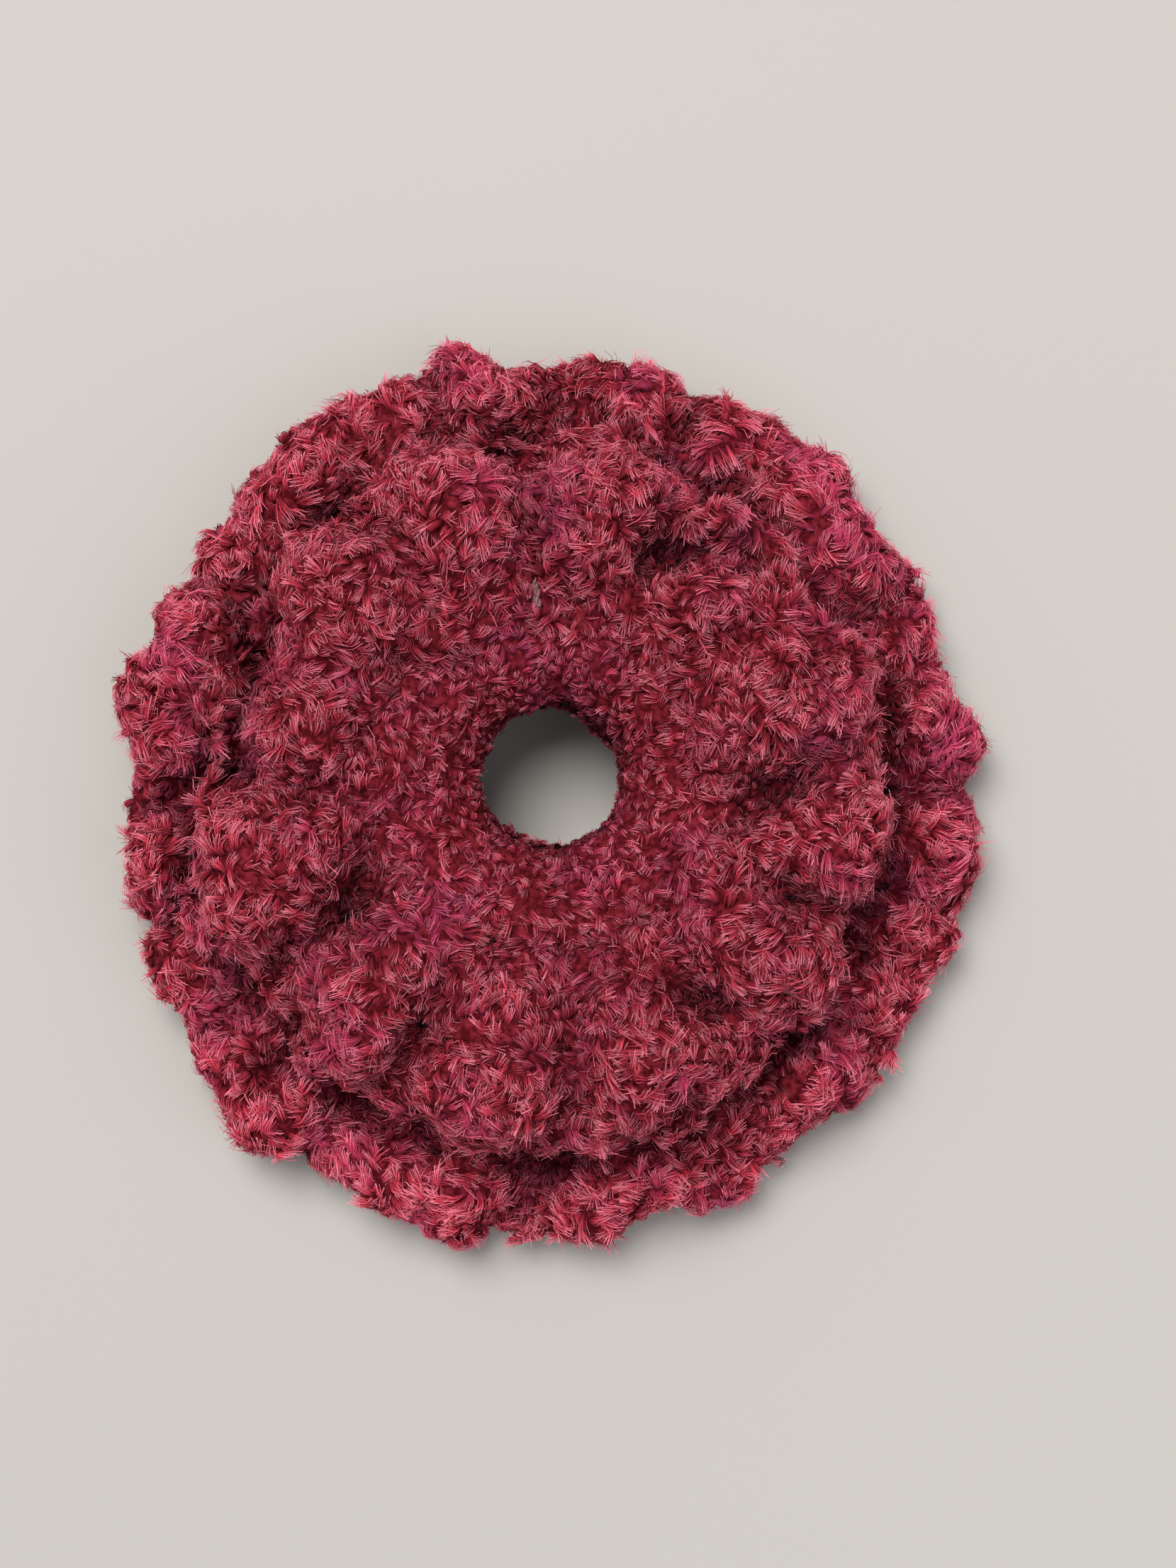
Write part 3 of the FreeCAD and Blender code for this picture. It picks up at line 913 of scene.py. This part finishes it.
def build_tail(node, looks):
    """A bare end of the yarn's core thread: a few twisted plies along the CAD thread."""
    points = node_vertices(node)
    centre = points.mean(0)
    axis = np.linalg.svd(points - centre, full_matrices=False)[2][0]
    order = np.argsort((points - centre) @ axis)
    path = np.array([group.mean(0) for group in np.array_split(points[order], 6)])
    radius = np.median(np.linalg.norm(points[order][: len(points) // 6] - path[0], axis=1)) / 2
    steps = np.linspace(0, SHOWN_TAIL, 24)
    line = np.stack([np.interp(steps, np.linspace(0, 1, len(path)), c) for c in path.T], axis=1)
    side = unit(np.cross(axis, [0.3, 0.2, 1.0]))
    other = np.cross(axis, side)
    around = math.tau * np.arange(8) / 8
    plies = []
    for ply in range(PLIES):
        wind = math.tau * (ply / PLIES + TAIL_TURNS * steps)[:, None]
        fray = radius * (1 + TAIL_FRAY * steps[:, None] ** 4)
        middle = line + fray * (np.cos(wind) * side + np.sin(wind) * other)
        circle = radius * (np.cos(around)[:, None] * side + np.sin(around)[:, None] * other)
        plies.append(tube_mesh(middle[:, None] + circle[None]))
    bodies = RECORD["behaviour"]["bodies"]
    body = next(name for name, nodes in bodies.items() if node in nodes)
    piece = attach(new_object(node + "_thread", *join_meshes(plies)), body)
    finish_pieces([piece], node, "core_thread", looks)


# ---------------------------------------------------------------- materials


def new_material(name):
    """A new node material, its tree and its shader."""
    material = bpy.data.materials.new(name)
    material.use_nodes = True
    tree = material.node_tree
    return material, tree, tree.nodes["Principled BSDF"]


def add_node(tree, kind, **settings):
    """A node with its inputs and properties set by name."""
    node = tree.nodes.new(kind)
    for key, value in settings.items():
        if key in node.inputs:
            node.inputs[key].default_value = value
        else:
            setattr(node, key, value)
    return node


def add_ramp(tree, stops, factor):
    """A colour ramp with the given stops."""
    ramp = tree.nodes.new("ShaderNodeValToRGB")
    elements = ramp.color_ramp.elements
    while len(elements) > len(stops):
        elements.remove(elements[-1])
    while len(elements) < len(stops):
        elements.new(1.0)
    for element, (position, colour) in zip(elements, stops):
        element.position = position
        element.color = (*colour, 1.0)
    tree.links.new(factor, ramp.inputs["Fac"])
    return ramp.outputs["Color"]


# The pile's colours from root to tip: the dark root colour is painted shade deep in the pile.
SHADED_ROOT_COLOUR = (0.060, 0.0014, 0.004)
MIDDLE_COLOUR = (0.325, 0.026, 0.046)
TIP_COLOUR = (0.548, 0.152, 0.205)
PLUM_COLOUR = (0.360, 0.040, 0.120)
PLUM_PATCHES = 90.0  # the scale of the noise that spreads the plum
PLUM_FROM = 0.5  # the noise at which the plum starts
PLUM_TO = 0.75  # and at which it's strongest
PLUM_MOST = 0.45
TINT_STEP = 0.2  # how much brighter one step of tint makes the pile
MIDDLE_PLACE = 0.45  # where the middle colour lies along a hair
PILE_GLOSS = 0.1
# The dark and light tone, grain and roughness of the parts that aren't plush.
FIBRES = {
    "elastic_rubber": ((0.62, 0.56, 0.42), (0.72, 0.67, 0.54), 1500, 0.6),
    "elastic_braid": ((0.010, 0.003, 0.004), (0.022, 0.006, 0.008), 4000, 0.8),
    "splice_collar": ((0.008, 0.004, 0.005), (0.014, 0.008, 0.009), 900, 0.4),
    "core_thread": ((0.11, 0.045, 0.05), (0.24, 0.12, 0.13), 3000, 0.9),
}


def pile_material():
    """Burgundy pile: dark at the root, as painted shade deep in the pile, lighter at the tip,
    varied lock by lock, and darker or paler where its tint carries painted shade and painted
    light.
    """
    material, tree, shader = new_material("plush_pile")
    along = add_node(tree, "ShaderNodeAttribute", attribute_name="along")
    tint = add_node(tree, "ShaderNodeAttribute", attribute_name="tint")
    place = add_node(tree, "ShaderNodeTexCoord")
    stops = [(0.0, SHADED_ROOT_COLOUR), (MIDDLE_PLACE, MIDDLE_COLOUR), (1.0, TIP_COLOUR)]
    colour = add_ramp(tree, stops, along.outputs["Fac"])
    patches = add_node(tree, "ShaderNodeTexNoise", Scale=PLUM_PATCHES, Detail=2.0)
    tree.links.new(place.outputs["Object"], patches.inputs["Vector"])
    plum = add_node(tree, "ShaderNodeMix", data_type="RGBA", blend_type="MIX")
    plum_share = add_node(tree, "ShaderNodeMapRange")
    plum_share.inputs["From Min"].default_value = PLUM_FROM
    plum_share.inputs["From Max"].default_value = PLUM_TO
    plum_share.inputs["To Max"].default_value = PLUM_MOST
    tree.links.new(patches.outputs["Fac"], plum_share.inputs["Value"])
    tree.links.new(plum_share.outputs["Result"], plum.inputs["Factor"])
    tree.links.new(colour, plum.inputs["A"])
    plum.inputs["B"].default_value = (*PLUM_COLOUR, 1)
    bright = add_node(tree, "ShaderNodeMath", operation="MULTIPLY_ADD")
    tree.links.new(tint.outputs["Fac"], bright.inputs[0])
    bright.inputs[1].default_value = TINT_STEP
    bright.inputs[2].default_value = 1.0
    varied = add_node(tree, "ShaderNodeHueSaturation")
    tree.links.new(bright.outputs["Value"], varied.inputs["Value"])
    tree.links.new(plum.outputs["Result"], varied.inputs["Color"])
    tree.links.new(varied.outputs["Color"], shader.inputs["Base Color"])
    shader.inputs["Roughness"].default_value = 0.8
    shader.inputs["Specular IOR Level"].default_value = PILE_GLOSS
    return material


def ground_material():
    """The knitted ground under the pile: deep crimson, finely uneven, down to the painted shade of
    the pile's roots.
    """
    material, tree, shader = new_material("plush_ground")
    place = add_node(tree, "ShaderNodeTexCoord")
    grain = add_node(tree, "ShaderNodeTexNoise", Scale=900.0, Detail=3.0)
    tree.links.new(place.outputs["Object"], grain.inputs["Vector"])
    stops = [(0.4, SHADED_ROOT_COLOUR), (1.0, MIDDLE_COLOUR)]
    colour = add_ramp(tree, stops, grain.outputs["Fac"])
    tree.links.new(colour, shader.inputs["Base Color"])
    bump = add_node(tree, "ShaderNodeBump", Strength=0.6, Distance=0.0006)
    tree.links.new(grain.outputs["Fac"], bump.inputs["Height"])
    tree.links.new(bump.outputs["Normal"], shader.inputs["Normal"])
    shader.inputs["Roughness"].default_value = 0.95
    shader.inputs["Specular IOR Level"].default_value = PILE_GLOSS
    return material


def fibre_material(name):
    """Fine fibres or rubber: two tones mixed by a small noise, slightly bumpy."""
    dark, light, scale, roughness = FIBRES[name]
    material, tree, shader = new_material(name)
    place = add_node(tree, "ShaderNodeTexCoord")
    grain = add_node(tree, "ShaderNodeTexNoise", Scale=scale, Detail=3.0)
    tree.links.new(place.outputs["Object"], grain.inputs["Vector"])
    colour = add_ramp(tree, [(0.35, dark), (0.65, light)], grain.outputs["Fac"])
    tree.links.new(colour, shader.inputs["Base Color"])
    bump = add_node(tree, "ShaderNodeBump", Strength=0.4, Distance=0.0002)
    tree.links.new(grain.outputs["Fac"], bump.inputs["Height"])
    tree.links.new(bump.outputs["Normal"], shader.inputs["Normal"])
    shader.inputs["Roughness"].default_value = roughness
    return material


# ---------------------------------------------------------------- the stage

CAMERA_HEIGHT = 0.42
VIEW_WIDTH = 0.173
VIEW_CENTRE = (5.4 * MM, -1.0 * MM)
SENSOR = 36.0
WINDOW = (-0.14, 0.26, 0.62)
FILL = (0.45, -0.25, 0.55)
TABLE_SIZE = 16
TABLE_COLOUR = (0.414, 0.397, 0.371)
TABLE_ROUGHNESS = 0.7
SKY_STRENGTH = 0.45
WARM = (1.0, 0.98, 0.95)
COOL = (0.95, 0.97, 1.0)


def add_light(kind, name, place, power, colour, **shape):
    """A light at a place, or a sun in its direction, that faces the ring."""
    light = bpy.data.lights.new(name, kind)
    light.energy = power
    light.color = colour
    for key, value in shape.items():
        setattr(light, key, value)
    obj = bpy.data.objects.new(name, light)
    bpy.context.scene.collection.objects.link(obj)
    obj.location = place
    obj.rotation_euler = (-Vector(place)).to_track_quat("-Z", "Y").to_euler()


def build_stage():
    """The pale table, the studio lights and the camera straight above."""
    scene = bpy.context.scene
    scene.view_settings.view_transform = "Standard"
    bpy.ops.mesh.primitive_plane_add(size=TABLE_SIZE, location=(0, 0, TABLE))
    table = bpy.context.object
    table.name = "table"
    material, _, shader = new_material("table")
    shader.inputs["Base Color"].default_value = (*TABLE_COLOUR, 1)
    shader.inputs["Roughness"].default_value = TABLE_ROUGHNESS
    table.data.materials.append(material)
    world = bpy.data.worlds.new("studio")
    world.use_nodes = True
    backdrop = world.node_tree.nodes["Background"]
    backdrop.inputs["Color"].default_value = (*COOL, 1)
    backdrop.inputs["Strength"].default_value = SKY_STRENGTH
    scene.world = world
    add_light("AREA", "window", WINDOW, 1.7, WARM, size=0.36)
    add_light("SUN", "daylight", WINDOW, 2.5, WARM, angle=math.radians(30))
    add_light("AREA", "fill", FILL, 1.2, COOL, size=0.6)
    camera = bpy.data.cameras.new("camera")
    camera.sensor_fit = "HORIZONTAL"
    camera.sensor_width = SENSOR
    camera.lens = SENSOR * (CAMERA_HEIGHT - TABLE / 2) / VIEW_WIDTH
    camera.clip_start = 0.01
    obj = bpy.data.objects.new("camera", camera)
    scene.collection.objects.link(obj)
    obj.location = (*VIEW_CENTRE, CAMERA_HEIGHT)
    scene.camera = obj


# ---------------------------------------------------------------- the whole scene


def main():
    """Build the scrunchie's looks and the stage."""
    tiers = build_tiers()
    materials = [ground_material(), pile_material()]
    grow_pile(tiers)
    for tier in tiers:
        split_tier(tier, materials)
    looks = {name: fibre_material(name) for name in FIBRES}
    build_elastic("elastic_core", core_arc, CORE_RADIUS, "elastic_rubber", looks)
    build_elastic("elastic_sleeve", sleeve_arc, SLEEVE_RADIUS, "elastic_braid", looks)
    build_splice(looks)
    build_tail("start_tail", looks)
    build_tail("finishing_tail", looks)
    build_stage()


main()
